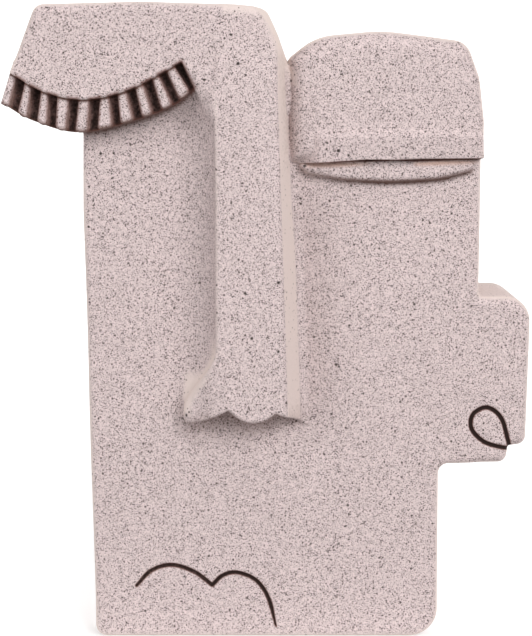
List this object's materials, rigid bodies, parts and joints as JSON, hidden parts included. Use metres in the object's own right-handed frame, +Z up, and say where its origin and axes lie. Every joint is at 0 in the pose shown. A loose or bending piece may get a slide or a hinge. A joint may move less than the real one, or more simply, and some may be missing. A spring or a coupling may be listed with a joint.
{
  "type": "abstract face sculpture",
  "caption": "Flat-backed abstract face ornament with an overhanging lashed eyelid, a long wedge nose, a domed closed eye and a stepped ear, in a speckled stone finish.",
  "frame": {"origin": "centre of the bounding box in plan, at the height of the flat foot", "axes": "+Z up from the foot, -Y out of the front of the face, +X to the right as seen from the front"},
  "size_m": [0.2438, 0.082, 0.2999],
  "materials": {
    "speckled_stone": "matt stone-effect coating with fine dark specks, and dark brown paint in the sunk lines"
  },
  "bodies": {
    "root": {"face_sculpture": "speckled_stone"}
  },
  "joints": []
}
